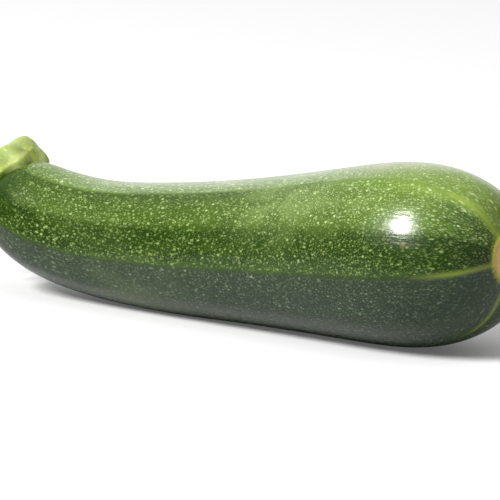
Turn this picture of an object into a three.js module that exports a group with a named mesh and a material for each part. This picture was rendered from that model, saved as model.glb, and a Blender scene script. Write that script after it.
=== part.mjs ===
// Courgette (Cucurbita pepo), a ripe green one as picked, lying on a flat surface.
//
// Millimetres, +Z up. The courgette lies along X, with its stem at -X and its blossom end at +X.
// The origin is on the surface, under the middle of the whole courgette.
//
// Both pieces are drawn straight first, as a side outline turned about an axis. Their points are
// then pushed in and out to make the ridges and lobes, and laid along one bent centre line.

import * as THREE from 'three';

// Centre line of stem and fruit, as [x, height above the surface]. The neck turns up to the stem.
const CENTRE_LINE = [
  [-104.3, 32.5],
  [-92.4, 34.8],
  [-81.3, 31],
  [-69, 23.8],
  [-55.3, 20.1],
  [-40.5, 18.6],
  [-25.5, 18.5],
  [4.5, 20.2],
  [34.3, 22.8],
  [64.2, 25.6],
  [104, 28.7],
];
const STEM_LENGTH = 24;
const FRUIT_LENGTH = 188;
const SHOULDER = { length: 20, radius: 16 }; // the fruit's rounded end under the stem

// Side outline of the fruit, as [distance from the stem seat, radius]. The narrow neck swells to
// the bulge near the blossom end, which is blunt and has a small sunk scar.
const FRUIT_SIDE = [
  [0, 0],
  [0.9, 5.5],
  [3.2, 10.2],
  [8, 13.8],
  [17, 15.8],
  [38, 17],
  [68, 18.8],
  [98, 20.9],
  [128, 23.7],
  [150, 25.7],
  [164, 25.2],
  [176, 21.7],
  [183.6, 16.2],
  [187.2, 8.6],
  [188, 4.5],
  [187.4, 0],
];

// Ridges run the whole length. Angles are degrees round the centre line from the top towards -Y.
// The courgette lies on the flat between the third main ridge and the tall minor one beside it.
const MAIN_RIDGES = [29, 96.5, 163.5, 236, 314];
const MAIN_RIDGE_SHARES = [1, 1, 1, 1, 1]; // share of the full height, ridge by ridge
const MINOR_RIDGES = [65, 130, 197, 275, 351.5];
const MINOR_RIDGE_SHARES = [0.4, 0.4, 1, 0.4, 0.4];
const RIDGE_HALF_WIDTH = 11;
const RIDGE_HEIGHT = 0.035; // share of the radius, at the neck
const BULGE_RIDGE_HEIGHT = 0.023; // share of the radius, from the middle on
const BETWEEN_RIDGES = 0.45; // share of a ridge's height that the skin between them is lowered
const LOWERING_STRETCH = [20, 110]; // along here the ridges come down to their height at the bulge
const RISING_STRETCH = [0, 12]; // along the shoulder they rise from nothing
const SCAR_STRETCH = [FRUIT_LENGTH - 6, FRUIT_LENGTH - 0.5]; // beside the scar they sink again
const SUNK_AT_SCAR = 0.6; // share of their height that they lose there

// Side outline of the stem, as [distance out from the seat, radius], from the cut end to the rim
// that laps over the fruit's shoulder: once down the crest of a lobe and once down a groove.
const LOBE_SIDE = [
  [24, 7],
  [13, 6.5],
  [8.6, 7.6],
  [7, 11.4],
  [5, 15.2],
  [-0.5, 15],
  [-4.6, 14.6],
  [-6.6, 13.3],
];
const GROOVE_SIDE = [
  [24, 6.2],
  [13, 5.8],
  [8.5, 6.4],
  [6.3, 7.6],
  [4, 9.2],
  [0.8, 10.6],
  [-1.8, 10.8],
  [-2.6, 9.6],
];
const STEM_LOBES = [22, 96, 169, 241, 319];
const STEM_LOBE_SHARES = [0.84, 0.88, 0.85, 0.92, 1]; // how full each lobe is
const STEM_LOBE_SHIFTS = [-3.5, -1, 0.6, -1.2, 0]; // how far out each one swells
const LOBE_HALF_WIDTH = 13;
const SWELLING_STARTS = [-6, 3]; // the stretch out from the seat that a shift moves
const SWELLING_ENDS = [8, 14];
const CUT_FACE_RADIUS = 4; // flat middle of the cut end
const SEAT_GAP = 0.3; // between the stem and the fruit under it
const SEAT_LIP = 0.2; // least thickness of the rim

const FRUIT_ROWS = 50;
const FRUIT_SEGMENTS = 60;
const STEM_SIDE_ROWS = 16;
const STEM_SEAT_ROWS = 6;
const STEM_SEGMENTS = 45;
const FINE_SAMPLES = 2000;

const SKIN = { color: 0x3d6a1e, roughness: 0.3, metalness: 0 };
const STEM_SKIN = { color: 0xb4c763, roughness: 0.55, metalness: 0 };

const { degToRad, lerp, smoothstep } = THREE.MathUtils;

const centreLine = new THREE.CatmullRomCurve3(
  CENTRE_LINE.map(([x, height]) => new THREE.Vector3(x, 0, height)),
);
const seatShare = STEM_LENGTH / centreLine.getLength();

// A point beside the centre line, at a distance from the stem seat, an angle and a radius.
function besideCentreLine(along, angle, radius) {
  const share = seatShare + (along / FRUIT_LENGTH) * (1 - seatShare);
  const onLine = THREE.MathUtils.clamp(share, 0, 1);
  const centre = centreLine.getPointAt(onLine);
  const ahead = centreLine.getTangentAt(onLine);
  const up = new THREE.Vector3(-ahead.z, 0, ahead.x);
  const side = new THREE.Vector3(0, -1, 0);
  return centre
    .addScaledVector(up, radius * Math.cos(angle))
    .addScaledVector(side, radius * Math.sin(angle));
}

// A round crest at each angle of a list, as high as its share says, falling away over the half
// width.
function crests(angle, crestAngles, halfWidth, shares) {
  const sharpness = 1 / degToRad(halfWidth) ** 2;
  let sum = 0;
  crestAngles.forEach((crest, i) => {
    sum += shares[i] * Math.exp(sharpness * (Math.cos(angle - degToRad(crest)) - 1));
  });
  return sum;
}

// How much the ridges raise or lower the skin, as a share of the radius.
function ridgeRelief(along, angle) {
  const main = crests(angle, MAIN_RIDGES, RIDGE_HALF_WIDTH, MAIN_RIDGE_SHARES);
  const minor = crests(angle, MINOR_RIDGES, RIDGE_HALF_WIDTH, MINOR_RIDGE_SHARES);
  const height = lerp(RIDGE_HEIGHT, BULGE_RIDGE_HEIGHT, smoothstep(along, ...LOWERING_STRETCH));
  const atStem = smoothstep(along, ...RISING_STRETCH);
  const atScar = 1 - SUNK_AT_SCAR * smoothstep(along, ...SCAR_STRETCH);
  return height * atStem * atScar * (main + minor - BETWEEN_RIDGES);
}

// Turns a straight outline of [along, radius] points about the axis, then puts each point where
// its row and angle say, beside the bent centre line.
function turnedAndBent(outline, segments, shape) {
  const profile = outline.map(([along, radius]) => new THREE.Vector2(radius, along));
  profile[0].x = 0;
  profile[profile.length - 1].x = 0;
  const geometry = new THREE.LatheGeometry(profile, segments);
  const position = geometry.getAttribute('position');
  for (let i = 0; i < position.count; i += 1) {
    const row = i % profile.length;
    const segment = Math.floor(i / profile.length) % segments;
    const angle = (segment / segments) * 2 * Math.PI;
    const [along, radius] = shape(row, angle);
    const point = besideCentreLine(along, angle, radius);
    position.setXYZ(i, point.x, point.y, point.z);
  }
  geometry.computeVertexNormals();
  return geometry;
}

const fruitCurve = new THREE.SplineCurve(FRUIT_SIDE.map((p) => new THREE.Vector2(...p)));
const fruitOutline = fruitCurve.getSpacedPoints(FRUIT_ROWS).map((p) => [p.x, Math.max(p.y, 0)]);

function fruitShape(row, angle) {
  const [along, radius] = fruitOutline[row];
  return [along, radius * (1 + ridgeRelief(along, angle))];
}

// The radius that just clears the fruit's shoulder, read off its finely sampled side outline.
const shoulder = fruitCurve
  .getPoints(FINE_SAMPLES)
  .filter(({ x, y }) => x < SHOULDER.length && y < SHOULDER.radius);
function overShoulder(along, angle) {
  if (along <= 0) return 0;
  const next = shoulder.findIndex((p) => p.x >= along);
  const from = shoulder[next - 1];
  const to = shoulder[next];
  const radius = lerp(from.y, to.y, (along - from.x) / (to.x - from.x));
  return radius * (1 + ridgeRelief(along, angle)) + SEAT_GAP;
}

// Stem rows, first the cut face, then the side down to the rim, then the seat back to the axis.
function sampledSide(side) {
  return new THREE.SplineCurve(side.map((p) => new THREE.Vector2(...p))).getPoints(STEM_SIDE_ROWS);
}
const lobeRows = sampledSide(LOBE_SIDE);
const grooveRows = sampledSide(GROOVE_SIDE);
const cutFace = [
  [-STEM_LENGTH, 0],
  [-STEM_LENGTH, CUT_FACE_RADIUS],
];
const stemOutline = [
  ...cutFace,
  ...lobeRows.map((p) => [-p.x, p.y]),
  ...Array.from({ length: STEM_SEAT_ROWS }, (_, i) => [0, 1 - (i + 1) / STEM_SEAT_ROWS]),
];

function stemShape(row, angle) {
  if (row < cutFace.length) return cutFace[row];
  const lobe = Math.min(1, crests(angle, STEM_LOBES, LOBE_HALF_WIDTH, STEM_LOBE_SHARES));
  const sideRow = Math.min(row - cutFace.length, STEM_SIDE_ROWS);
  const out = lobeRows[sideRow].x;
  const swelling = smoothstep(out, ...SWELLING_STARTS) * (1 - smoothstep(out, ...SWELLING_ENDS));
  const shift = swelling * crests(angle, STEM_LOBES, LOBE_HALF_WIDTH, STEM_LOBE_SHIFTS);
  const along = -lerp(grooveRows[sideRow].x, out, lobe) - shift;
  const radius = lerp(grooveRows[sideRow].y, lobeRows[sideRow].y, lobe);
  const seatRow = row - cutFace.length - STEM_SIDE_ROWS;
  if (seatRow <= 0) return [along, Math.max(radius, overShoulder(along, angle) + SEAT_LIP)];
  const inwards = 1 - seatRow / STEM_SEAT_ROWS;
  if (inwards <= 0) return [-SEAT_GAP, 0];
  const under = along * inwards * inwards;
  return [under - SEAT_GAP, overShoulder(under, angle)];
}

function piece(name, geometry, look) {
  const mesh = new THREE.Mesh(geometry, new THREE.MeshStandardMaterial(look));
  mesh.name = name;
  return mesh;
}

const group = new THREE.Group();
group.add(piece('fruit', turnedAndBent(fruitOutline, FRUIT_SEGMENTS, fruitShape), SKIN));
group.add(piece('stem', turnedAndBent(stemOutline, STEM_SEGMENTS, stemShape), STEM_SKIN));

// Laid on the surface, with the middle of its box over the origin.
const box = new THREE.Box3().setFromObject(group);
group.position.set(-(box.min.x + box.max.x) / 2, -(box.min.y + box.max.y) / 2, -box.min.z);

export default group;
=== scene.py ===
# %% [markdown]
# # Dressing a courgette
# A courgette is one dark green fruit with a short, ribbed, pale stem. It lies on a white surface
# in soft studio light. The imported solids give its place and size. Here each solid is replaced
# by a finer skin of the same form, because a fruit shows what it is by its surface: ridges,
# flecks, a waxy sheen, a corky scar and a fibrous cut.

# %% Load the frame
from math import cos, radians, sin

import bpy
import numpy as np
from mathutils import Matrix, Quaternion, Vector


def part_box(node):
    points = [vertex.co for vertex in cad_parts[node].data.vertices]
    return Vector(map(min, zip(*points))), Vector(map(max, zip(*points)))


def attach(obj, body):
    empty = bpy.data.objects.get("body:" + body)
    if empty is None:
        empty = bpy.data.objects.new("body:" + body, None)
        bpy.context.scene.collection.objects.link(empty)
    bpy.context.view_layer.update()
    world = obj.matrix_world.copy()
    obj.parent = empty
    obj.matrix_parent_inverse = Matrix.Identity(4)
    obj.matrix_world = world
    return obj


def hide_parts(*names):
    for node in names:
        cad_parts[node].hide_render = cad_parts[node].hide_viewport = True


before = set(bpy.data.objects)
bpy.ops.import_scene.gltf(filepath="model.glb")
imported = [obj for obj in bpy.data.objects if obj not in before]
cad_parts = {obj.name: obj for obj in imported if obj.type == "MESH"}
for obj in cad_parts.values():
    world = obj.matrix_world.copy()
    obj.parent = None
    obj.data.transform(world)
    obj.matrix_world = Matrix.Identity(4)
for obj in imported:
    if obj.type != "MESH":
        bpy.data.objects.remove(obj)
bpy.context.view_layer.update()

print("solids:", sorted(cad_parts))

# %% [markdown]
# ## Driving values
# Two outlines say how this courgette is shaped: the line through its middle, and how thick it is
# along that line. They are the same as in the solids, so the finer skin lies on them. Only the
# ridges are crisper here and a little higher, the second main one most. The solids have rounder
# ones, because they did not come to rest on crisp ones. Lengths are metres.

# %% Driving values
MM = 0.001
CENTRE_LINE = MM * np.array([
    [-104.3, 32.5], [-92.4, 34.8], [-81.3, 31], [-69, 23.8], [-55.3, 20.1], [-40.5, 18.6],
    [-25.5, 18.5], [4.5, 20.2], [34.3, 22.8], [64.2, 25.6], [104, 28.7]])  # [x, height]
STEM_LENGTH = 24 * MM
FRUIT_LENGTH = 188 * MM
FRUIT_SIDE = MM * np.array([
    [0, 0], [0.9, 5.5], [3.2, 10.2], [8, 13.8], [17, 15.8], [38, 17], [68, 18.8], [98, 20.9],
    [128, 23.7], [150, 25.7], [164, 25.2], [176, 21.7], [183.6, 16.2], [187.2, 8.6],
    [188, 4.5], [187.4, 0]])  # [distance from the stem seat, radius]
MAIN_RIDGES = (29, 96.5, 163.5, 236, 314)  # degrees from the top towards -Y
MINOR_RIDGES = (65, 130, 197, 275, 351.5)
MAIN_RIDGE_SHARES = (1, 1.4, 1, 1, 1)  # share of the full height, ridge by ridge
MINOR_RIDGE_SHARES = (0.4, 0.4, 1, 0.4, 0.4)
RIDGE_HALF_WIDTH, RIDGE_ROUNDING = 14, 1.8  # degrees
RIDGE_HEIGHT, BULGE_RIDGE_HEIGHT = 0.043, 0.025  # share of the radius, at the neck and the bulge
BETWEEN_RIDGES = 0.45  # share of a ridge's height by which the skin between them is lowered
RISING_STRETCH = 0, 5 * MM  # along the shoulder the ridges rise from nothing
LOWERING_STRETCH = 20 * MM, 110 * MM  # here they come down to their height at the bulge
SINKING_STRETCH = FRUIT_LENGTH - 6 * MM, FRUIT_LENGTH - 0.5 * MM  # here they sink to the scar
SUNK_AT_SCAR = 0.6  # share of their height that they lose there
print(f"fruit {FRUIT_LENGTH:.3f} m long, {2 * FRUIT_SIDE[:, 1].max():.4f} m thick, "
      f"with {len(MAIN_RIDGES)} main and {len(MINOR_RIDGES)} minor ridges")

# %% [markdown]
# ## Smooth curves from a few points
# A drawn outline has only a few points, and a glossy skin shows every corner between them. A
# cubic spline bends evenly through its points, so the reflections run along it unbroken.

# %% Splines and steps
def spline(knots, points, at):
    """Natural cubic spline through points. Each stretch is a cubic, slopes and bends match at the
    knots, and the bend is zero at both ends. The bends solve one set of linear equations."""
    knots, points, at = np.asarray(knots, float), np.asarray(points, float), np.asarray(at, float)
    gap = np.diff(knots)
    slope = np.diff(points, axis=0) / gap[:, None]
    lines = np.eye(len(knots))
    inner = np.arange(1, len(knots) - 1)
    lines[inner, inner - 1], lines[inner, inner + 1] = gap[:-1], gap[1:]
    lines[inner, inner] = 2 * (gap[:-1] + gap[1:])
    pull = np.zeros_like(points)
    pull[1:-1] = 6 * np.diff(slope, axis=0)
    bend = np.linalg.solve(lines, pull)
    i = np.clip(np.searchsorted(knots, at) - 1, 0, len(gap) - 1)
    h, t = gap[i][..., None], (at - knots[i])[..., None]
    start = slope[i] - h * (2 * bend[i] + bend[i + 1]) / 6
    return points[i] + t * (start + t * (bend[i] / 2 + t * (bend[i + 1] - bend[i]) / (6 * h)))


def chords(points):
    """Distance along the straight steps between points, from the first one."""
    return np.concatenate([[0], np.cumsum(np.linalg.norm(np.diff(points, axis=0), axis=1))])


def step(x, low, high):
    """0 up to low, 1 from high, and an even S between them: 3t^2 - 2t^3."""
    t = np.clip((x - low) / (high - low), 0, 1)
    return t * t * (3 - 2 * t)


quarter = spline([0, 1, 2], [[0], [1], [0]], [0.5])[0, 0]
print(f"spline through 0, 1 and 0, a quarter of the way: {quarter:.3f}")
print("halfway up a step:", step(0.5, 0, 1))

# %% [markdown]
# ## Crests and ridges
# What rises and falls round a fruit is a sum of crests at given angles. Two kinds are enough: a
# round crest for lobes and ribs, and a ridge whose top is almost an edge for the seams of the
# fruit. Both are formulas of the angle, so they can be put on a grid of any fineness.

# %% Crests and ridges
def crests(angle, degrees, half_width, shares=None):
    """Round crests at the given angles: exp((cos(angle - crest) - 1) / half_width^2), summed."""
    total = 0
    for k, crest in enumerate(np.radians(degrees)):
        share = 1 if shares is None else shares[k]
        total = total + share * np.exp((np.cos(angle - crest) - 1) / np.radians(half_width) ** 2)
    return total


def ridges(angle, degrees, half_width, rounding, shares):
    """Ridges at the given angles: exp((rounding - hypot(away, rounding)) / half_width), summed.
    away is the turn from the crest. The crest is only slightly rounded, so it stays crisp."""
    total = 0
    half_width, rounding = np.radians(half_width), np.radians(rounding)
    for share, ridge in zip(shares, np.radians(degrees)):
        away = np.arctan2(np.sin(angle - ridge), np.cos(angle - ridge))
        total = total + share * np.exp((rounding - np.hypot(away, rounding)) / half_width)
    return total


beside_top = np.radians([0, 5, 20])
print("0, 5 and 20 degrees beside the top, crest:", crests(beside_top, (0,), 14).round(3),
      "ridge:", ridges(beside_top, (0,), RIDGE_HALF_WIDTH, RIDGE_ROUNDING, (1,)).round(3))

# %% [markdown]
# ## The bent centre line
# A courgette bends as it grows, and its ridges and stripes bend with it. So every skin is worked
# out straight first, as distance along, angle and radius, and one function lays each point beside
# the bent line. A modifier could bend a finished straight mesh too, but not along these points.

# %% The bent centre line
LINE_SAMPLES = 4001
line_knots = chords(CENTRE_LINE)
line_fine = spline(line_knots, CENTRE_LINE, np.linspace(0, line_knots[-1], LINE_SAMPLES))
line_run = chords(line_fine)
line_length = line_run[-1]
seat_share = STEM_LENGTH / line_length
line_ahead = np.gradient(line_fine, line_run, axis=0)
print(f"centre line {line_length:.4f} m, stem seat at {seat_share:.3f} of it")


def beside_line(along, angle, radius):
    """Point at a distance from the stem seat, an angle and a radius beside the centre line:
    centre + up * radius * cos(angle) + side * radius * sin(angle), with side = -Y."""
    run = (seat_share + along / FRUIT_LENGTH * (1 - seat_share)) * line_length
    run_on = np.clip(run, 0, line_length)
    x, z = (np.interp(run_on, line_run, line_fine[:, k]) for k in (0, 1))
    dx, dz = (np.interp(run_on, line_run, line_ahead[:, k]) for k in (0, 1))
    x, z = x + (run - run_on) * dx, z + (run - run_on) * dz
    rise = radius * np.cos(angle)
    return np.stack([x - dz * rise, -radius * np.sin(angle), z + dx * rise], axis=-1)


# %% [markdown]
# ## The fruit
# A courgette grows from five seams, which show as five main ridges with a weaker one between
# each pair. Its skin is never quite even: it has slow swellings, and fine ripples that run the
# length of the fruit and comb the edges of every highlight. Both are sums of long waves, which
# suit a skin better than noise because they have no grain of their own.

# %% Ridges and waves of the skin
def ridge_relief(along, angle):
    """Share of the radius by which the ridges raise the skin, less between them."""
    main = ridges(angle, MAIN_RIDGES, RIDGE_HALF_WIDTH, RIDGE_ROUNDING, MAIN_RIDGE_SHARES)
    minor = ridges(angle, MINOR_RIDGES, RIDGE_HALF_WIDTH, RIDGE_ROUNDING, MINOR_RIDGE_SHARES)
    share = step(along, *LOWERING_STRETCH)
    height = RIDGE_HEIGHT + (BULGE_RIDGE_HEIGHT - RIDGE_HEIGHT) * share
    at_stem = step(along, *RISING_STRETCH)
    at_scar = 1 - SUNK_AT_SCAR * step(along, *SINKING_STRETCH)
    return height * at_stem * at_scar * (main + minor - BETWEEN_RIDGES)


def waves(seed, count, turns, lengths, along, angle):
    """Sum of count waves cos(n * angle + 2 pi * along / length + phase), scaled to about -1..1."""
    draw = np.random.default_rng(seed)
    total = 0
    for _ in range(count):
        n = draw.integers(*turns)
        length = draw.uniform(*lengths) * draw.choice([-1, 1])
        total = total + np.cos(n * angle + 2 * np.pi * along / length + draw.uniform(0, 2 * np.pi))
    return total / np.sqrt(2 * count)


print("main ridges halfway along stand out by, % of the radius:",
      (100 * ridge_relief(FRUIT_LENGTH / 2, np.radians(MAIN_RIDGES))).round(1))

# %% [markdown]
# ## Rows of the fruit
# The grid needs a row every half millimetre, and closer rows where the skin turns in at the scar,
# because the scar's rim and rings are finer than the rest.

# %% Rows of the fruit
FRUIT_ROWS, FRUIT_SEGMENTS = 330, 280
END_STRETCH, END_ROWS = 12 * MM, 60  # the closer rows
SIDE_SAMPLES = 6001
side_knots = chords(FRUIT_SIDE)
side_fine = spline(side_knots, FRUIT_SIDE, np.linspace(0, side_knots[-1], SIDE_SAMPLES))
side_run = chords(side_fine)
side_at = np.concatenate([
    np.linspace(0, side_run[-1] - END_STRETCH, FRUIT_ROWS - END_ROWS, endpoint=False),
    np.linspace(side_run[-1] - END_STRETCH, side_run[-1], END_ROWS)])
fruit_along = np.interp(side_at, side_run, side_fine[:, 0])[:, None]
fruit_radius = np.interp(side_at, side_run, side_fine[:, 1]).clip(0)[:, None]
fruit_angle = np.linspace(0, 2 * np.pi, FRUIT_SEGMENTS, endpoint=False)[None, :]
print(f"skin {side_run[-1]:.4f} m from seat to scar, a row every {np.diff(side_at)[0] / MM:.2f} mm,"
      f" at the scar every {np.diff(side_at)[-1] / MM:.2f} mm")

# %% [markdown]
# ## The scar and the skin
# Where the flower fell off, a patch of cork is left, with a raised rim, low rings, small lumps
# and a pit. It is shape as well as colour, so that the light catches it from every side.

# %% Scar and skin relief
SCAR_RADIUS = 6.6 * MM
RIM_HEIGHT, RING_HEIGHT, LUMP_HEIGHT, PIT_DEPTH = 0.22 * MM, 0.05 * MM, 0.10 * MM, 0.6 * MM
RIM_WIDTH, RING_SPACING, PIT_WIDTH = 0.55 * MM, 1.3 * MM, 1.1 * MM
SWELLING, RIPPLE = 0.12 * MM, 0.014 * MM


def scar_relief(from_scar, angle):
    """Distance that the scar stands out along the fruit: a raised rim at its edge, low rings and
    small lumps inside, and a pit in the middle, each a bell curve or a wave of from_scar."""
    inside = 1 - step(from_scar, SCAR_RADIUS - 1.2 * MM, SCAR_RADIUS)
    rim = RIM_HEIGHT * np.exp(-((from_scar - SCAR_RADIUS) / RIM_WIDTH) ** 2)
    rings = RING_HEIGHT * np.cos(2 * np.pi * from_scar / RING_SPACING)
    lumps = LUMP_HEIGHT * waves(13, 30, (2, 13), (2 * MM, 6 * MM), from_scar, angle)
    pit = PIT_DEPTH * np.exp(-(from_scar / PIT_WIDTH) ** 2)
    fade = step(from_scar, 0, 1.5 * MM)
    return rim + inside * (rings + fade * lumps) - pit


def fruit_skin_radius(along, angle, radius):
    """Radius times (1 + ridges), plus the swellings and ripples, which die out at both ends."""
    inner = step(radius, 4 * MM, 14 * MM)
    slow = waves(11, 14, (1, 6), (45 * MM, 150 * MM), along, angle)
    fine = waves(12, 40, (14, 46), (25 * MM, 120 * MM), along, angle)
    return radius * (1 + ridge_relief(along, angle)) + inner * (SWELLING * slow + RIPPLE * fine)


from_scar = (side_run[-1] - side_at)[:, None]
relief = scar_relief(from_scar, fruit_angle)
print(f"the scar stands out by {relief.max() / MM:.2f} mm and is {-relief.min() / MM:.2f} mm deep")

# %% [markdown]
# ## Where the frame has it
# The solid's own box says where the fruit lies. The same skin without its finest relief is drawn
# once, and the middles of the two boxes give the move from the drawing to the frame.

# %% Drawn skin to frame
plain_radius = fruit_radius * (1 + ridge_relief(fruit_along, fruit_angle))
plain_fruit = beside_line(fruit_along, fruit_angle, plain_radius)
fruit_low, fruit_high = (np.array(corner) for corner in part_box("fruit"))
plain_low, plain_high = plain_fruit.min((0, 1)), plain_fruit.max((0, 1))
to_frame = (fruit_low + fruit_high - plain_low - plain_high) / 2
print("drawn skin to frame, mm:", (to_frame / MM).round(3),
      "size difference, mm:", ((plain_high - plain_low - fruit_high + fruit_low) / MM).round(3))

# %% [markdown]
# ## From a grid to a mesh
# Every skin here is a grid of rows and segments that closes at a point at both ends. One helper
# lays down its points and faces, checks that they face outwards, and stores the values that its
# finish needs on its points.

# %% Grid to mesh
def stack_map(*corners):
    """Flat map corners of many faces, from (u, v) pairs of arrays, as [face, corner, 2]."""
    pairs = [np.stack(np.broadcast_arrays(*corner), axis=-1) for corner in corners]
    return np.stack(pairs, axis=-2).reshape(-1, len(corners), 2)


def closed_mesh(name, points, values):
    """Mesh of a grid whose first and last rows are single points. Faces join each point to its
    neighbours along the row and in the next row. values maps names to one number or vector a
    grid point, kept as attributes. The flat map is the grid laid out: segment by row."""
    rows, segments = points.shape[:2]

    def on_points(grid):
        grid = np.broadcast_to(grid, (rows, segments) + grid.shape[2:])
        inner = grid[1:-1].reshape((-1,) + grid.shape[2:])
        return np.concatenate([grid[:1, 0], inner, grid[-1:, 0]])

    verts = on_points(points)
    here = np.arange(segments)
    after = (here + 1) % segments
    ring = 1 + segments * np.arange(rows - 3)[:, None]
    quads = np.stack([ring + here, ring + after, ring + segments + after,
                      ring + segments + here], axis=-1).reshape(-1, 4)
    last = 1 + segments * (rows - 3)
    first_fan = np.stack([np.zeros_like(here), 1 + after, 1 + here], axis=-1)
    last_fan = np.stack([np.full_like(here, len(verts) - 1), last + here, last + after], axis=-1)
    tips = verts[first_fan].astype(float), verts[last_fan].astype(float)
    corners = np.concatenate([verts[quads[:, [0, 1, 2]]], verts[quads[:, [0, 2, 3]]], *tips])
    volume = np.einsum("ij,ij->", corners[:, 0], np.cross(corners[:, 1], corners[:, 2])) / 6
    turn = slice(None) if volume > 0 else slice(None, None, -1)
    faces = [f[:, turn].tolist() for f in (quads, first_fan, last_fan)]
    mesh = bpy.data.meshes.new(name)
    mesh.from_pydata(verts.tolist(), [], faces[0] + faces[1] + faces[2])
    mesh.shade_smooth()
    u, v = here / segments, np.arange(rows) / (rows - 1)
    u_after, quad_v = u + 1 / segments, v[1:-2, None]
    quad_v_next = v[2:-1, None]
    flat = [stack_map((u, quad_v), (u_after, quad_v), (u_after, quad_v_next), (u, quad_v_next)),
            stack_map((u, v[0]), (u_after, v[1]), (u, v[1])),
            stack_map((u, v[-1]), (u, v[-2]), (u_after, v[-2]))]
    flat_map = mesh.uv_layers.new(name="OFBake")
    flat_map.data.foreach_set("uv", np.concatenate(
        [f[:, turn].reshape(-1, 2) for f in flat]).astype(np.float32).ravel())
    for value, grid in values.items():
        kept = on_points(grid).astype(np.float32)
        vector = kept.ndim == 2
        attribute = mesh.attributes.new(value, "FLOAT_VECTOR" if vector else "FLOAT", "POINT")
        attribute.data.foreach_set("vector" if vector else "value", kept.ravel())
    print(f"{name}: {len(verts)} points, {len(quads) * 2 + segments * 2} triangles, "
          f"{abs(volume) * 1e6:.1f} cm3")
    return mesh


def place(name, mesh, node):
    """Object at the origin for a finished mesh, riding on the courgette in place of its solid."""
    piece = bpy.data.objects.new(name, mesh)
    bpy.context.scene.collection.objects.link(piece)
    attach(piece, "root")
    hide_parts(node)
    print(f"{name} rides on root and stands for the solid {node}")


print("helpers ready: stack_map, closed_mesh, place")

# %% [markdown]
# ## A pattern that grew with the fruit
# The flecks were laid down when the fruit was young and then grew with it. So their pattern
# follows the straight, unbent fruit: distance along the skin, and a ring whose size changes
# less than the fruit does. Near the scar the distance runs slower, which draws the flecks out
# into streaks that run to the scar.

# %% Growth pattern and points
GROWTH_RING = 25 * MM


def growth_pattern(run, angle, radius, scale):
    """(ring * cos(angle), ring * sin(angle), run), ring = scale * sqrt(radius * GROWTH_RING)."""
    ring = scale * np.sqrt(radius * GROWTH_RING)
    return np.stack(np.broadcast_arrays(ring * np.cos(angle), ring * np.sin(angle), run), axis=-1)


fineness = 1 + 0.35 * step(side_at, 90 * MM, 160 * MM)  # smaller flecks towards the bulge
drawn_out = 1 - 0.62 * step(side_at, side_run[-1] - 44 * MM, side_run[-1] - 14 * MM)
fleck_run = np.concatenate([[0], np.cumsum(np.diff(side_at) * (fineness * drawn_out)[1:])])
fruit_points = to_frame + beside_line(
    fruit_along + relief, fruit_angle,
    fruit_skin_radius(fruit_along, fruit_angle, fruit_radius))
rise = fruit_low[2] - fruit_points[..., 2].min()
fruit_points[..., 2] += rise
print(f"the skin is raised by {rise / MM:.3f} mm, so that it rests on the surface")

# %% [markdown]
# ## Light and dark stripes, with painted light and shade
# A courgette is darker in some furrows than in others. Over these stripes the tone is also painted
# lighter on top and darkest underneath, where the lamps light it most and least: painted light
# and shade. Two short tables of angle and tone say how light each stripe is, one for the neck
# and body and one for the bulge. Between them the tone changes evenly.

# %% Stripes
# Tone by angle: the fruit's own stripes, with painted light on top and painted shade underneath.
STRIPES_WITH_PAINTED_LIGHT = np.array([
    [-8.5, 1], [28.5, 0.86], [30.5, 0.22], [36, 0.3], [42, 0.40], [61, 0.40], [68, 0.04],
    [88, 0.04], [95, 0.16], [97, 0], [160, 0], [167, 0.1], [193, 0.12], [201, 0.34],
    [232, 0.36], [240, 0.62], [271, 0.64], [279, 0.9], [310, 0.92], [318, 1]])  # [angle, tone]
BULGE_STRIPES_WITH_PAINTED_LIGHT = np.array([
    [-8.5, 0.9], [14, 0.78], [25, 0.85], [31, 0.8], [40, 0.6], [60, 0.55], [64, 0.5], [71, 0.04],
    [88, 0.04], [94.5, 0.2], [97, 0], [160, 0], [167, 0.1], [193, 0.12], [201, 0.34],
    [232, 0.36], [240, 0.62], [271, 0.64], [279, 0.9], [310, 0.9], [318, 0.95]])
at_bulge = step(fruit_along, 110 * MM, 150 * MM)
body_tone, bulge_tone = (np.interp(np.degrees(fruit_angle), table[:, 0], table[:, 1], period=360)
                         for table in (STRIPES_WITH_PAINTED_LIGHT, BULGE_STRIPES_WITH_PAINTED_LIGHT))
stripe_and_painted_light = body_tone + (bulge_tone - body_tone) * at_bulge
print(f"stripe tone, {stripe_and_painted_light.min():.2f} to {stripe_and_painted_light.max():.2f}, {stripe_and_painted_light.mean():.2f} on average")

# %% [markdown]
# ## Marks on the skin
# Where a courgette was handled, its bloom lies paler on the skin. Under the stem the skin is
# painted darker: painted shade. A few nicks have dried, and the skin is browned where it lay on
# the ground. Each is a soft spot at a place of its own. Noise would scatter them, and these are
# few and have causes.

# %% Marks
# Each mark is (along mm, angle, long mm, wide mm, strength).
HANDLING_MARKS = [(147, 46, 13, 9, 0.6), (121, 42, 15, 9, 1.15), (127, 66, 7, 5, 0.25),
                  (60, 130, 22, 14, 0.5), (96, 205, 30, 16, 0.6), (40, 300, 20, 15, 0.6),
                  (165, 250, 18, 12, 0.5)]
# A spot of painted shade on the fruit just under the stem.
PAINTED_SHADE_SPOTS = [(3, 60, 11, 9, 1)]
NICKS = [(169.5, 74.6, 0.9, 0.8, 1), (118, 290, 1.4, 0.7, 0.8), (52, 218, 0.8, 1.2, 0.7)]
BROWNED = [(148, 6, 12, 4, 0.8), (30, 350, 5, 3, 0.5), (132, 190, 16, 6, 0.6)]


def marks(spots, along, angle):
    """Sum of bell-shaped spots: strength * exp(-(distance along / long)^2 - (across / wide)^2)."""
    total = 0
    for at, degrees, long, wide, strength in spots:
        turn = angle - np.radians(degrees)
        across = fruit_radius * np.arctan2(np.sin(turn), np.cos(turn))
        total = total + strength * np.exp(-((along - at * MM) / (long * MM)) ** 2
                                          - (across / (wide * MM)) ** 2)
    return total


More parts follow.
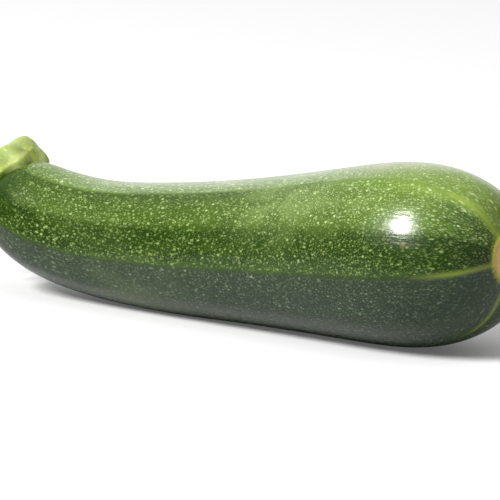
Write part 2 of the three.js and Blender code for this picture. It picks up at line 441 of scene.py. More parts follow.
print(len(HANDLING_MARKS), "handling marks,", len(NICKS), "nicks,", len(BROWNED), "browned places")

# %% [markdown]
# ## The fruit's mesh
# A finish has to know where it is on the fruit: on a ridge, near the scar, in a dark stripe. These
# values are worked out here and kept on the points, so that every finish follows the skin round
# its bends. A painted map would do it too, but it would have a seam and a fixed fineness.

# %% The fruit's mesh
RIDGE_LINE_HALF_WIDTH = 0.5 * MM
MINOR_LINE_WIDENING = 1.6
line_turn = RIDGE_LINE_HALF_WIDTH / fruit_radius.clip(2 * MM)
fruit_mesh = closed_mesh("fruit_skin", fruit_points, {
    "pattern": growth_pattern(fleck_run[:, None], fruit_angle, fruit_radius, fineness[:, None]),
    "ridge": crests(fruit_angle, MAIN_RIDGES, np.degrees(line_turn)),
    "minor_ridge": crests(fruit_angle, MINOR_RIDGES, np.degrees(MINOR_LINE_WIDENING * line_turn)),
    "along": fruit_along / FRUIT_LENGTH,
    "from_scar": from_scar,
    "stripe_and_painted_light": stripe_and_painted_light,
    "bloom": marks(HANDLING_MARKS, fruit_along, fruit_angle),
    "nick": marks(NICKS, fruit_along, fruit_angle),
    "browning": marks(BROWNED, fruit_along, fruit_angle),
    "painted_shade_under_stem": marks(PAINTED_SHADE_SPOTS, fruit_along, fruit_angle),
})
place("courgette_skin", fruit_mesh, "fruit")

# %% [markdown]
# ## The stem
# The stem was cut a finger's width from the fruit. It has five ribs that swell into lobes where
# it meets the fruit, with narrow grooves between them. Two outlines, one down a rib and one down
# a groove, give it its form, and each angle takes a share of both.

# %% Stem outlines
LOBE_SIDE = MM * np.array([
    [24, 7], [13, 6.5], [8.6, 7.6], [7, 11.4], [5, 15.2], [-0.5, 15], [-4.6, 14.6],
    [-6.6, 13.3]])  # [distance out from the seat, radius]
GROOVE_SIDE = MM * np.array([
    [24, 6.2], [13, 5.8], [8.5, 6.4], [6.3, 7.6], [4, 9.2], [0.8, 10.6], [-1.8, 10.8], [-2.6, 9.6]])
STEM_LOBES = (22, 96, 169, 241, 319)
STEM_LOBE_SHARES = (0.84, 0.88, 0.85, 0.92, 1)
STEM_LOBE_SHIFTS = (-3.5 * MM, -1 * MM, 0.6 * MM, -1.2 * MM, 0)  # how far out each lobe swells
LOBE_HALF_WIDTH = 13
STEM_SEGMENTS = 300
FACE_ROWS, SIDE_ROWS = 26, 150
side_steps = np.linspace(0, len(LOBE_SIDE) - 1, SIDE_ROWS)
lobe_fine = spline(np.arange(len(LOBE_SIDE)), LOBE_SIDE, side_steps)
groove_fine = spline(np.arange(len(GROOVE_SIDE)), GROOVE_SIDE, side_steps)
stem_angle = np.linspace(0, 2 * np.pi, STEM_SEGMENTS, endpoint=False)[None, :]
down_side = np.linspace(0, 1, SIDE_ROWS)[:, None]  # 0 at the cut, 1 at the rim
print(f"stem {LOBE_SIDE[0, 0]:.3f} m out from its seat, {2 * LOBE_SIDE[:, 1].max():.4f} m across")

# %% [markdown]
# ## Down the side of the stem
# The share of a rib at each angle is a sum of crests. On top, between two lobes, the groove is
# not open down to the rim: a web of skin has grown across it, so that groove gets a share too.

# %% Stem side
WEB_ANGLE, WEB_HALF_WIDTH, WEB_SHARE = -10, 15, 0.6


def web(angle):
    """Share of a lobe that fills the groove on top, from the shaft down to the rim."""
    from_shaft = step(down_side, 0.42, 0.7)
    return WEB_SHARE * from_shaft * crests(angle, (WEB_ANGLE,), WEB_HALF_WIDTH)


def stem_side(angle):
    """Distance out and radius down the side: groove + (lobe - groove) * crest, row by row. The
    swollen rows are then shifted along the stem by each lobe's own amount."""
    crest = crests(angle, STEM_LOBES, LOBE_HALF_WIDTH, STEM_LOBE_SHARES) + web(angle)
    crest = np.minimum(1, crest)
    both = groove_fine[:, None, :] + (lobe_fine - groove_fine)[:, None, :] * crest[..., None]
    row_out = lobe_fine[:, :1]
    swelling = step(row_out, -6 * MM, 3 * MM) * (1 - step(row_out, 8 * MM, 14 * MM))
    shift = swelling * crests(angle, STEM_LOBES, LOBE_HALF_WIDTH, STEM_LOBE_SHIFTS)
    return both[..., 0] + shift, both[..., 1]


out, stem_radius = stem_side(stem_angle)
print("side radius at the cut and the rim, mm:", (stem_radius[[0, -1]].mean(1) / MM).round(2))

# %% [markdown]
# ## Bumps, fibres and the rim
# Stem skin is lumpy and grainy, and long fibres show through it on the shaft. These are sums of
# waves like the fruit's, only shorter. At the rim the stem thins out and runs into the fruit.

# %% Stem relief and rim
BUMP, GRANULE, FIBRE = 0.13, 0.08, 0.09  # heights in mm
bumps = waves(21, 30, (3, 14), (5 * MM, 16 * MM), out, stem_angle)
granules = waves(24, 70, (10, 34), (1.6 * MM, 4 * MM), out, stem_angle)
fibres = waves(25, 30, (16, 46), (30 * MM, 90 * MM), out, stem_angle)
on_shaft = step(out, 5 * MM, 12 * MM)
stem_radius = stem_radius + MM * (BUMP * bumps + GRANULE * granules + FIBRE * on_shaft * fibres)
before_scar = slice(0, side_fine[:, 0].argmax())
fruit_below = np.interp(-out, side_fine[before_scar, 0], side_fine[before_scar, 1])
fruit_below = fruit_below * (1 + ridge_relief(-out, stem_angle))
rim_from = 0.83 - 0.11 * crests(stem_angle, (-20,), 22)  # it thins out earlier beside the web
at_rim = step(down_side, rim_from, 1)
stem_radius = stem_radius + at_rim * (fruit_below - 0.25 * MM - stem_radius)
print(f"side radius {stem_radius.min() / MM:.2f} to {stem_radius.max() / MM:.2f} mm")

# %% [markdown]
# ## The cut and the underside
# Rows over the cut face, which is slightly uneven, and three rows under the rim close the skin. So
# it is one closed body that has no hole in any view.

# %% The stem's mesh
face_share = np.linspace(0, 1, FACE_ROWS, endpoint=False)[:, None]
face_out = out[:1] + 0.12 * MM * waves(22, 20, (2, 12), (4 * MM, 9 * MM),
                                       face_share * 8 * MM, stem_angle) * face_share
under_out = np.stack([out[-1] - 0.5 * MM, 0.5 * out[-1] - 2 * MM, 0 * out[-1] - 3 * MM])
under_radius = np.stack([stem_radius[-1] - 1.2 * MM, 0.55 * stem_radius[-1], 0 * stem_radius[-1]])
all_out = np.concatenate([np.broadcast_to(face_out, (FACE_ROWS, STEM_SEGMENTS)), out, under_out])
all_radius = np.concatenate([face_share * stem_radius[:1], stem_radius, under_radius])
stem_points = to_frame + beside_line(-all_out, stem_angle, all_radius)
under_rows = len(under_out)
cut = np.concatenate([np.ones(FACE_ROWS), np.zeros(SIDE_ROWS + under_rows)])[:, None]
stem_mesh = closed_mesh("stem_skin", stem_points, {
    "pattern": np.stack([all_radius * np.cos(stem_angle), all_radius * np.sin(stem_angle),
                         all_out], axis=-1),
    "rib": np.minimum(1, crests(stem_angle, STEM_LOBES, LOBE_HALF_WIDTH)),
    "upper_side": 0.5 + 0.5 * np.cos(stem_angle + np.radians(10)),
    "web": np.concatenate([np.zeros((FACE_ROWS, STEM_SEGMENTS)), web(stem_angle),
                           np.zeros((under_rows, STEM_SEGMENTS))]),
    "out": all_out,
    "cut": cut,
})
place("courgette_stem", stem_mesh, "stem")

# %% [markdown]
# ## Finishes
# A finish is a colour, a roughness and a bump that change over the skin. They are built from a few
# kinds of node again and again, so each kind gets a short helper. What both finishes need is a
# node group that puts out a mask, and the shader itself stays in the material.

# %% Node helpers
def new_group(name, inputs, outputs):
    """Empty node group with named sockets: inputs maps names to default values."""
    group = bpy.data.node_groups.new(name, "ShaderNodeTree")
    for label, value in inputs.items():
        kind = "NodeSocketVector" if value is None else "NodeSocketFloat"
        socket = group.interface.new_socket(label, in_out="INPUT", socket_type=kind)
        if value is not None:
            socket.default_value = value
    for label in outputs:
        group.interface.new_socket(label, in_out="OUTPUT", socket_type="NodeSocketFloat")
    return group, group.nodes.new("NodeGroupInput"), group.nodes.new("NodeGroupOutput")


def node(tree, kind, inputs=(), **settings):
    """Adds a node, makes its settings, and links or sets its inputs by name or number."""
    made = tree.nodes.new("ShaderNode" + kind)
    for label, value in settings.items():
        setattr(made, label, value)
    for label, value in dict(inputs).items():
        if isinstance(value, bpy.types.NodeSocket):
            tree.links.new(value, made.inputs[label])
        else:
            made.inputs[label].default_value = value
    return made


def maths(tree, operation, *values, clamp=False):
    """Result of a Math node."""
    return node(tree, "Math", enumerate(values), operation=operation, use_clamp=clamp).outputs[0]


def ramp(tree, value, low, high, to_low=0.0, to_high=1.0, smooth=True):
    """Result of a Map Range node, clamped, with an S curve unless smooth is off."""
    return node(tree, "MapRange", {"Value": value, "From Min": low, "From Max": high,
                                   "To Min": to_low, "To Max": to_high},
                interpolation_type="SMOOTHSTEP" if smooth else "LINEAR").outputs["Result"]


def mix(tree, share, low, high):
    """Result of a colour Mix node: low where share is 0, high where it is 1."""
    return node(tree, "Mix", {0: share, 6: low, 7: high}, data_type="RGBA").outputs[2]


def value_of(tree, name, output="Fac"):
    """An attribute kept on the mesh."""
    return node(tree, "Attribute", attribute_name=name).outputs[output]


def noise(tree, vector, size, detail=2.0):
    """Soft noise whose lumps are about size metres, 0 to 1."""
    return node(tree, "TexNoise", {"Vector": vector, "Scale": 1 / size,
                                   "Detail": detail}).outputs["Fac"]


def drawn_along(tree, vector, share):
    """The pattern vector with its third axis, along the piece, scaled. Under 1 draws it out."""
    return node(tree, "VectorMath", {0: vector, 1: (1, 1, share)},
                operation="MULTIPLY").outputs[0]


def new_material(name):
    """Material with an empty Principled BSDF: (material, its node tree, the shader)."""
    made = bpy.data.materials.new(name)
    made.use_nodes = True
    tree = made.node_tree
    return made, tree, tree.nodes["Principled BSDF"]


print("node helpers ready: node, maths, ramp, mix, value_of, noise, drawn_along")

# %% [markdown]
# ## Flecks
# Flecks are scattered cells: each has a middle, a size of its own, and a soft edge. The surface
# cuts through cells at all depths, so most flecks are small and a few are large, as on a real
# skin.

# %% Fleck group
group, given, put = new_group("scattered flecks", {
    "Pattern": None, "Cell": 1 * MM, "Radius": 0.3, "Edge": 0.5, "Wobble": 0.2}, ["Mask", "Tone"])
cell = node(group, "VectorMath", {0: given.outputs["Pattern"],
            1: node(group, "CombineXYZ", {k: given.outputs["Cell"] for k in "XYZ"}).outputs[0]},
            operation="DIVIDE").outputs[0]
wobble = node(group, "TexNoise", {"Vector": cell, "Scale": 1.7, "Detail": 1.0})
moved = node(group, "VectorMath", {0: wobble.outputs["Color"], 1: (0.5, 0.5, 0.5)},
             operation="SUBTRACT").outputs[0]
moved = node(group, "VectorMath", {0: moved, "Scale": given.outputs["Wobble"]},
             operation="SCALE").outputs[0]
cell = node(group, "VectorMath", {0: cell, 1: moved}, operation="ADD").outputs[0]
cells = node(group, "TexVoronoi", {"Vector": cell, "Scale": 1.0, "Randomness": 1.0})
own = node(group, "SeparateColor", {0: cells.outputs["Color"]})
own_radius = maths(group, "MULTIPLY", given.outputs["Radius"],
                   ramp(group, own.outputs[0], 0, 1, 0.45, 1.15, smooth=False))
inner = maths(group, "MULTIPLY", own_radius, maths(group, "SUBTRACT", 1.0, given.outputs["Edge"]))
mask = ramp(group, cells.outputs["Distance"], own_radius, inner)
group.links.new(mask, put.inputs["Mask"])
group.links.new(own.outputs[1], put.inputs["Tone"])
flecks_group = group


def flecks(tree, pattern, size, radius, edge=0.5, wobble_by=0.3):
    """A layer of flecks in a material: (mask, tone of each fleck)."""
    made = node(tree, "Group", node_tree=flecks_group)
    tree.links.new(pattern, made.inputs["Pattern"])
    for label, value in {"Cell": size, "Radius": radius, "Edge": edge, "Wobble": wobble_by}.items():
        made.inputs[label].default_value = value
    return made.outputs["Mask"], made.outputs["Tone"]


print("fleck group:", len(flecks_group.nodes), "nodes")

# %% [markdown]
# ## The fruit's finish
# Courgette skin is green in stripes. Its colour is also painted lighter on top and dark and
# bluish underneath: painted light and shade. The ground colour follows the stripe tone kept on
# the mesh, with soft clouds and streaks added to it so that no stripe has an even edge. Towards
# the scar it is more streaked and mottled lime on top, and the top of the bulge is painted
# lighter: painted light.

# %% Fruit colours
UPPER_GREEN = (0.082, 0.156, 0.0060, 1)
DARK_GREEN = (0.0125, 0.036, 0.0012, 1)
# The underside's dark bluish green is painted shade.
UNDERSIDE_SHADE_GREEN = (0.0155, 0.035, 0.0115, 1)
LIME_GREEN = (0.22, 0.32, 0.035, 1)
RIDGE_GREEN = (0.10, 0.17, 0.016, 1)
RIDGE_END_LIME = (0.29, 0.38, 0.038, 1)
FLECK_GREEN = (0.28, 0.375, 0.115, 1)
PALE_FLECK = (0.43, 0.545, 0.235, 1)
# The underside's darker, greyer flecks are painted shade.
UNDERSIDE_SHADE_FLECK = (0.195, 0.270, 0.150, 1)
BLOOM_GREEN = (0.24, 0.33, 0.11, 1)
CORK = (0.80, 0.56, 0.27, 1)
CORK_EDGE = (0.60, 0.40, 0.11, 1)
HALO_GREEN = (0.44, 0.45, 0.055, 1)
DRY_TAN = (0.36, 0.24, 0.13, 1)
print("lightest and darkest ground, linear green:", LIME_GREEN[1], DARK_GREEN[1])

# %% Fruit ground colour
material, tree, shader = new_material("waxy courgette skin")
pattern = value_of(tree, "pattern", "Vector")
along = value_of(tree, "along")
tone_at = value_of(tree, "stripe_and_painted_light")
cloud = noise(tree, drawn_along(tree, pattern, 0.5), 8 * MM, detail=4)
streak = noise(tree, drawn_along(tree, pattern, 0.18), 1.8 * MM, detail=2)
bulge = ramp(tree, along, 0.72, 0.93)
near_scar = ramp(tree, along, 0.84, 0.97)
# Painted light: at the bulge the light stripes are painted lighter still, the dark ones a little
# darker.
spread = maths(tree, "MULTIPLY", ramp(tree, tone_at, 0.3, 0.7, -0.05, 0.3, smooth=False), bulge)
wide = maths(tree, "ADD", tone_at, spread)
tone = maths(tree, "ADD", wide, ramp(tree, cloud, 0.3, 0.75, -0.08, 0.10, smooth=False))
streaking = maths(tree, "MULTIPLY", ramp(tree, streak, 0.3, 0.75, -0.09, 0.10, smooth=False),
                  maths(tree, "MULTIPLY_ADD", near_scar, 2.0, 1.0))
sunk = maths(tree, "MULTIPLY", ramp(tree, along, 0.91, 0.985),
             ramp(tree, tone_at, 0.78, 0.6, 0, 0.33))
tone = maths(tree, "SUBTRACT", maths(tree, "ADD", tone, streaking), sunk, clamp=True)
base = mix(tree, tone, DARK_GREEN, UPPER_GREEN)
# Painted shade: where the tone is lowest, underneath, the colour turns to the underside green.
underside_shade = ramp(tree, tone_at, 0.03, 0.005)
base = mix(tree, underside_shade, base, UNDERSIDE_SHADE_GREEN)
mottle = maths(tree, "MULTIPLY", ramp(tree, cloud, 0.44, 0.64),
               maths(tree, "MULTIPLY", near_scar, ramp(tree, tone_at, 0.5, 0.95, 0, 0.6)))
base = mix(tree, mottle, base, LIME_GREEN)
# Painted light: the top of the bulge is painted lighter, towards lime.
lime_painted_light_on_top = maths(tree, "MULTIPLY", bulge, ramp(tree, tone_at, 0.45, 0.8, 0, 0.28))
lime_painted_light_on_top = maths(tree, "SUBTRACT", lime_painted_light_on_top, maths(tree, "MULTIPLY", sunk, 0.6), clamp=True)
base = mix(tree, lime_painted_light_on_top, base, LIME_GREEN)
bloom = maths(tree, "MULTIPLY", value_of(tree, "bloom"), ramp(tree, cloud, 0.3, 0.6, 0.1, 0.42))
colour = mix(tree, bloom, base, BLOOM_GREEN)
print("fruit ground colour:", len(tree.nodes), "nodes")

# %% [markdown]
# ## The fruit's flecks
# Flecks of four sizes lie over the ground, the small ones faint and many and the large ones pale
# and few. They are fainter on the ridges and, near the scar, on the dark stripes.

# %% Fruit flecks
ridge = value_of(tree, "ridge")
minor = value_of(tree, "minor_ridge")
# Flecks are paler on the lighter stripes and darker underneath: partly painted light and shade.
fleck_colour = mix(tree, ramp(tree, tone_at, 0.2, 0.65), FLECK_GREEN, PALE_FLECK)
fleck_colour = mix(tree, underside_shade, fleck_colour, UNDERSIDE_SHADE_FLECK)
on_ridge = maths(tree, "MAXIMUM", ridge, maths(tree, "MULTIPLY", minor, 0.5))
plain = maths(tree, "MULTIPLY", ramp(tree, on_ridge, 0.2, 0.9, 1, 0.25),
              ramp(tree, tone_at, 0.25, 0.7, 1, 1.35))
plain = maths(tree, "MULTIPLY", plain,
              ramp(tree, maths(tree, "SUBTRACT", near_scar, tone_at), 0, 0.9, 1, 0.75))
fleck_pattern = drawn_along(tree, pattern, 0.72)
# Each layer is (cell size in mm, radius, edge, faintest, strongest).
FLECK_LAYERS = [(0.60, 0.54, 0.6, 0.12, 0.46), (0.95, 0.46, 0.6, 0.12, 0.52),
                (1.6, 0.34, 0.5, 0.17, 0.64), (2.3, 0.23, 0.45, 0.50, 0.95)]
for size, radius, edge, faintest, strongest in FLECK_LAYERS:
    layer, fleck_tone = flecks(tree, fleck_pattern, size * MM, radius, edge)
    strength = ramp(tree, fleck_tone, 0, 1, faintest, strongest, smooth=False)
    strength = maths(tree, "MULTIPLY", maths(tree, "MULTIPLY", layer, strength), plain)
    colour = mix(tree, strength, colour, fleck_colour)
print("with", len(FLECK_LAYERS), "layers of flecks:", len(tree.nodes), "nodes")

# %% [markdown]
# ## Ridge lines, marks and the scar
# Near the scar each ridge turns to a thin yellow-green line. Nicks and browned places dry to tan.
# The scar is cork with a ragged edge, and the skin round it is drawn yellow-green like a halo.

# %% Fruit ridge lines, marks and scar
colour = mix(tree, maths(tree, "MULTIPLY", ridge, 0.06), colour, RIDGE_GREEN)
ridge_end = ramp(tree, along, 0.90, 0.985, 0, 0.62)
colour = mix(tree, maths(tree, "MULTIPLY", ridge, ridge_end), colour, RIDGE_END_LIME)
# Painted shade under the stem: the skin there is mixed towards the darkest green.
colour = mix(tree, maths(tree, "MULTIPLY", value_of(tree, "painted_shade_under_stem"), 0.95), colour, DARK_GREEN)
nick = maths(tree, "ADD", value_of(tree, "nick"), maths(tree, "MULTIPLY", cloud, 0.3))
colour = mix(tree, maths(tree, "MULTIPLY", ramp(tree, nick, 0.4, 1), 0.4), colour, DRY_TAN)
browning = maths(tree, "MULTIPLY", value_of(tree, "browning"),
                 ramp(tree, streak, 0.35, 0.7, 0.1, 0.55))
colour = mix(tree, browning, colour, DRY_TAN)
ragged = maths(tree, "ADD", value_of(tree, "from_scar"),
               ramp(tree, noise(tree, pattern, 1.3 * MM), 0, 1, -0.7 * MM, 0.7 * MM))
halo = ramp(tree, ragged, SCAR_RADIUS + 1.8 * MM, SCAR_RADIUS, 0, 0.85)
colour = mix(tree, halo, colour, HALO_GREEN)
cork = mix(tree, ramp(tree, noise(tree, pattern, 0.7 * MM, detail=4), 0.35, 0.7), CORK, CORK_EDGE)
cork = mix(tree, ramp(tree, ragged, SCAR_RADIUS - 1.4 * MM, SCAR_RADIUS), cork, CORK_EDGE)
scar = ramp(tree, ragged, SCAR_RADIUS + 0.5 * MM, SCAR_RADIUS - 0.6 * MM)
colour = mix(tree, scar, colour, cork)
tree.links.new(colour, shader.inputs["Base Color"])
print("whole fruit colour:", len(tree.nodes), "nodes")

# %% [markdown]
# ## Wax
# The skin has a thin coat of wax, which is thinner towards the stem. Under the coat the skin is
# rougher by the stem, where it was handled and on the cork. The bump is a fine grain, with long
# fine ripples that comb the highlight.

# %% Fruit sheen
haze = ramp(tree, noise(tree, pattern, 14 * MM, detail=3), 0.3, 0.7, 0.22, 0.32)
haze = maths(tree, "ADD", haze, maths(tree, "MULTIPLY", value_of(tree, "bloom"), 0.10))
haze = maths(tree, "ADD", haze, ramp(tree, along, 0.045, 0.01, 0, 0.25))
haze = maths(tree, "ADD", haze, maths(tree, "MULTIPLY", scar, 0.45), clamp=True)
tree.links.new(haze, shader.inputs["Roughness"])
shader.inputs["IOR"].default_value = 1.31
tree.links.new(ramp(tree, along, 0.0, 0.45, 0.2, 0.45), shader.inputs["Coat Weight"])
shader.inputs["Coat Roughness"].default_value = 0.18
grain = noise(tree, drawn_along(tree, pattern, 0.35), 0.9 * MM, detail=3)
comb = noise(tree, drawn_along(tree, pattern, 0.07), 1.1 * MM, detail=2)
grain = maths(tree, "ADD", grain, maths(tree, "MULTIPLY", comb, 2.5))
bump = node(tree, "Bump", {"Height": grain, "Strength": 0.2, "Distance": 0.12 * MM})
tree.links.new(bump.outputs["Normal"], shader.inputs["Normal"])
tree.links.new(bump.outputs["Normal"], shader.inputs["Coat Normal"])
fruit_mesh.materials.append(material)
print(f"{material.name}: {len(tree.nodes)} nodes, on {fruit_mesh.name}")

# %% [markdown]
# ## The stem's finish
# Fresh stem skin is pale yellow-green on its lobes, olive in its grooves and as dark as the fruit
# where it grows into it. The rims of the lobes and the grooves are painted lighter, and the
# lower flanks darker and greener: painted light and shade. It is dull and grainy, with pale
# lumps on a greener ground. The cut is paler still, with a ring of fibre ends and a rim that has
# begun to dry.

# %% Stem colours
LOBE_PALE = (0.27, 0.335, 0.095, 1)
# The grooves' olive is painted lighter than it is, in place of light in their shade: painted light.
GROOVE_OLIVE_PAINTED_LIGHTER = (0.52, 0.60, 0.095, 1)
GROOVE_GREEN = (0.28, 0.36, 0.075, 1)
# Darker, greener lower flanks of the lobes: painted shade.
LOWER_FLANK_SHADE_GREEN = (0.19, 0.29, 0.025, 1)
# Paler rims of the lobes, where they turn down into shade: painted light.
RIM_PAINTED_LIGHT = (0.45, 0.52, 0.17, 1)
# Darker, greener grooves on the stem's lower side: painted shade.
UNDER_SIDE_SHADE_GREEN = (0.20, 0.34, 0.03, 1)
SEAT_GREEN = (0.16, 0.25, 0.055, 1)
GRAIN_PALE = (0.46, 0.52, 0.22, 1)
GRAIN_GREEN = (0.19, 0.28, 0.035, 1)
CUT_PALE = (0.48, 0.50, 0.27, 1)
CUT_FIBRE = (0.62, 0.58, 0.36, 1)
CUT_EDGE = (0.24, 0.25, 0.08, 1)
print("palest rim and darkest seat, linear green:", RIM_PAINTED_LIGHT[1], SEAT_GREEN[1])

# %% Stem skin colour
material, tree, shader = new_material("stem skin and cut")
pattern = value_of(tree, "pattern", "Vector")
rib = value_of(tree, "rib")
out_at = value_of(tree, "out")
upper = value_of(tree, "upper_side")
cloud = noise(tree, pattern, 3 * MM, detail=4)
swing = ramp(tree, cloud, 0.3, 0.7, -0.25, 0.25, smooth=False)
# Painted light: the grooves near the fruit are painted a light olive over their shade.
groove = mix(tree, ramp(tree, out_at, 1.5 * MM, -1.5 * MM), GROOVE_GREEN, GROOVE_OLIVE_PAINTED_LIGHTER)
# Painted shade: on the stem's lower side the grooves turn a darker green.
groove = mix(tree, ramp(tree, upper, 0.55, 0.9), UNDER_SIDE_SHADE_GREEN, groove)
# Painted light: the rims of the lobes, which face down into shade, are painted paler.
rim_at = maths(tree, "ADD", out_at, maths(tree, "MULTIPLY", swing, 3 * MM))
rim_light_share = ramp(tree, rim_at, -0.8 * MM, -3.6 * MM)
lobe = mix(tree, maths(tree, "MULTIPLY", rim_light_share, 0.9), LOBE_PALE, RIM_PAINTED_LIGHT)
# Painted shade: the lobes' lower flanks turn a darker, greener colour.
lobe = mix(tree, ramp(tree, upper, 0.90, 0.72, 0, 0.85), lobe, LOWER_FLANK_SHADE_GREEN)
colour = mix(tree, ramp(tree, maths(tree, "ADD", rib, swing), 0.0, 0.45), groove, lobe)
# Each layer is (cell size in mm, radius, faintest, strongest, colour).
GRAIN_LAYERS = [(1.6, 0.46, 0.20, 0.75, GRAIN_GREEN), (1.1, 0.46, 0.25, 0.95, GRAIN_PALE)]
for size, radius, faintest, strongest, grain_colour in GRAIN_LAYERS:
    layer, grain_tone = flecks(tree, pattern, size * MM, radius, edge=0.8, wobble_by=0.6)
    strength = ramp(tree, grain_tone, 0, 1, faintest, strongest, smooth=False)
    colour = mix(tree, maths(tree, "MULTIPLY", layer, strength), colour, grain_colour)
seat_from = ramp(tree, maths(tree, "ADD", rib, value_of(tree, "web")), 0.1, 0.7,
                 -1.8 * MM, -7.5 * MM, smooth=False)
ragged_out = maths(tree, "ADD", out_at, maths(tree, "MULTIPLY", swing, 5 * MM))
seat = ramp(tree, maths(tree, "SUBTRACT", seat_from, ragged_out), 0, 3.5 * MM, 0, 0.85)
colour = mix(tree, seat, colour, SEAT_GREEN)
print("stem skin colour:", len(tree.nodes), "nodes")

# %% Stem cut and sheen
ends = drawn_along(tree, pattern, 0.1)
fibre, _ = flecks(tree, ends, 1.1 * MM, 0.36, edge=0.6, wobble_by=0.2)
face = mix(tree, maths(tree, "MULTIPLY", fibre, 0.6), CUT_PALE, CUT_FIBRE)
middle = node(tree, "VectorMath", {0: drawn_along(tree, pattern, 0)}, operation="LENGTH")
face = mix(tree, ramp(tree, middle.outputs["Value"], 4.8 * MM, 6.6 * MM, 0, 0.8), face, CUT_EDGE)
colour = mix(tree, value_of(tree, "cut"), colour, face)
tree.links.new(colour, shader.inputs["Base Color"])
tree.links.new(ramp(tree, cloud, 0.3, 0.7, 0.42, 0.62), shader.inputs["Roughness"])
shader.inputs["IOR"].default_value = 1.38
shader.inputs["Subsurface Weight"].default_value = 0.9
shader.inputs["Subsurface Radius"].default_value = (1.0, 1.0, 0.35)
shader.inputs["Subsurface Scale"].default_value = 7 * MM
grain = noise(tree, pattern, 0.8 * MM, detail=3)
bump = node(tree, "Bump", {"Height": grain, "Strength": 0.6, "Distance": 0.3 * MM})
tree.links.new(bump.outputs["Normal"], shader.inputs["Normal"])
stem_mesh.materials.append(material)
print(f"{material.name}: {len(tree.nodes)} nodes, on {stem_mesh.name}")

# %% [markdown]
# ## The surface
# A white surface runs out of sight behind the courgette. To the camera it is nearly white, but it
# throws back less light than that, so the underside of the fruit stays dark.

# %% Floor
FLOOR_HALF = 4.0
FLOOR_BOUNCE, FLOOR_SEEN = (0.45, 0.45, 0.45, 1), (0.66, 0.66, 0.66, 1)
FLOOR_GLOW = 0.1  # seen by the camera only
corners = [(x * FLOOR_HALF, y * FLOOR_HALF, fruit_low[2]) for x, y in
           ((-1, -1), (1, -1), (1, 1), (-1, 1))]
floor_mesh = bpy.data.meshes.new("floor")
floor_mesh.from_pydata(corners, [], [(0, 1, 2, 3)])
floor = bpy.data.objects.new("floor", floor_mesh)
bpy.context.scene.collection.objects.link(floor)
material, tree, shader = new_material("white surface")
seen = node(tree, "LightPath").outputs["Is Camera Ray"]
paper = mix(tree, seen, FLOOR_BOUNCE, FLOOR_SEEN)
tree.links.new(maths(tree, "MULTIPLY", seen, FLOOR_GLOW), shader.inputs["Emission Strength"])
shader.inputs["Emission Color"].default_value = (1, 1, 1, 1)
tree.links.new(paper, shader.inputs["Base Color"])
shader.inputs["Roughness"].default_value = 0.9
shader.inputs["Specular IOR Level"].default_value = 0.0
floor_mesh.materials.append(material)
print(f"floor {2 * FLOOR_HALF:.0f} m wide at height {fruit_low[2]:.4f} m")

# %% [markdown]
# ## The camera
# A long lens from over a metre away keeps the near and far ends of the fruit in proportion. The
# camera looks at its side, turned towards the blossom end, from a little above the surface.

# %% Camera
AZIMUTH, ELEVATION, DISTANCE = radians(38.5), radians(10), 1.3
LENS, FARTHEST_SEEN = 324, 20  # mm, m
LOOK_AT = Vector((13.7 * MM, 0, 21.3 * MM))
toward = Vector((sin(AZIMUTH) * cos(ELEVATION), -cos(AZIMUTH) * cos(ELEVATION), sin(ELEVATION)))
camera = bpy.data.objects.new("camera", bpy.data.cameras.new("camera"))
camera.data.lens = LENS
camera.data.clip_end = FARTHEST_SEEN
camera.location = LOOK_AT + DISTANCE * toward
camera.rotation_euler = (-toward).to_track_quat("-Z", "Y").to_euler()
bpy.context.scene.collection.objects.link(camera)
bpy.context.scene.camera = camera
print("camera at", [round(v, 3) for v in camera.location], f"with a lens of {LENS} mm")

# %% [markdown]
# ## The lights
# A small oval softbox in front and to the left makes the one bright highlight. The room does the
# rest: it is bright behind and above, and dark behind the camera, so the skin that faces the
# camera keeps its full colour. Its bright parts are soft round patches of the world's glow, which
# needs no more lamps.

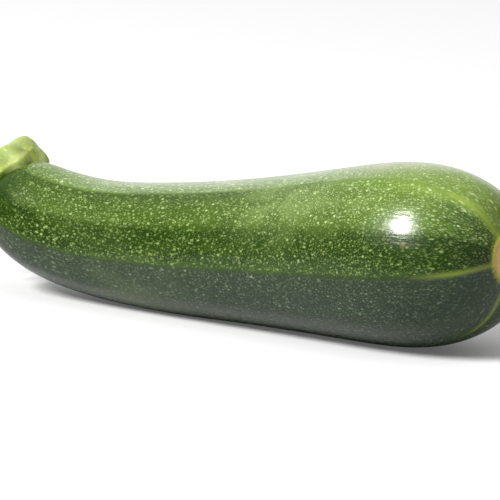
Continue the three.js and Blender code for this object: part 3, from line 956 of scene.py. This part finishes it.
# %% Key softbox
def softbox(name, direction, distance, size, power, turn):
    """Oval area light that faces the courgette, turned about its own axis by turn degrees."""
    light = bpy.data.objects.new(name, bpy.data.lights.new(name, "AREA"))
    light.data.shape = "ELLIPSE"
    light.data.size, light.data.size_y = size
    light.data.energy = power
    light.location = LOOK_AT + Vector(direction).normalized() * distance
    facing = (light.location - LOOK_AT).to_track_quat("Z", "Y")
    light.rotation_euler = (facing @ Quaternion((0, 0, 1), radians(turn))).to_euler()
    bpy.context.scene.collection.objects.link(light)
    print(f"{name}: {size[0]} x {size[1]} m, {power} W, {distance} m away")


softbox("key softbox", direction=(-0.225, -0.697, 0.683), distance=3.0, size=(0.68, 1.36),
        power=138, turn=31)

# %% Room
# Each patch is (azimuth, elevation, half width, strength), in degrees, azimuth 0 at -Y, 90 at +X.
ROOM_PANELS = [(225, 12, 24, 1.25), (60, 45, 26, 0.30), (120, 45, 26, 0.35), (0, 88, 26, 1.0)]
SEEN_STRENGTH = 1.3  # of the plain white that the camera sees behind the surface
world = bpy.data.worlds.new("bright room")
bpy.context.scene.world = world
world.use_nodes = True
tree = world.node_tree
tree.nodes.clear()
direction = node(tree, "TexCoord").outputs["Generated"]
glow = 0.0
for azimuth, elevation, half_width, strength in ROOM_PANELS:
    turn, lift = radians(azimuth), radians(elevation)
    middle = (sin(turn) * cos(lift), -cos(turn) * cos(lift), sin(lift))
    facing = node(tree, "VectorMath", {0: direction, 1: middle}, operation="DOT_PRODUCT")
    away = maths(tree, "DIVIDE", maths(tree, "SUBTRACT", facing.outputs["Value"], 1.0),
                 radians(half_width) ** 2)
    patch = maths(tree, "MULTIPLY", maths(tree, "EXPONENT", away), strength)
    glow = maths(tree, "ADD", patch, glow)
seen = node(tree, "LightPath").outputs["Is Camera Ray"]
plain = node(tree, "Background", {"Color": (1, 1, 1, 1), "Strength": SEEN_STRENGTH})
room = node(tree, "Background", {"Color": (1, 1, 1, 1), "Strength": glow})
both = node(tree, "MixShader", {0: seen, 1: room.outputs[0], 2: plain.outputs[0]})
tree.links.new(both.outputs[0], node(tree, "OutputWorld").inputs["Surface"])
bpy.context.scene.view_settings.view_transform = "Standard"
print(f"{world.name}: {len(ROOM_PANELS)} patches of light")
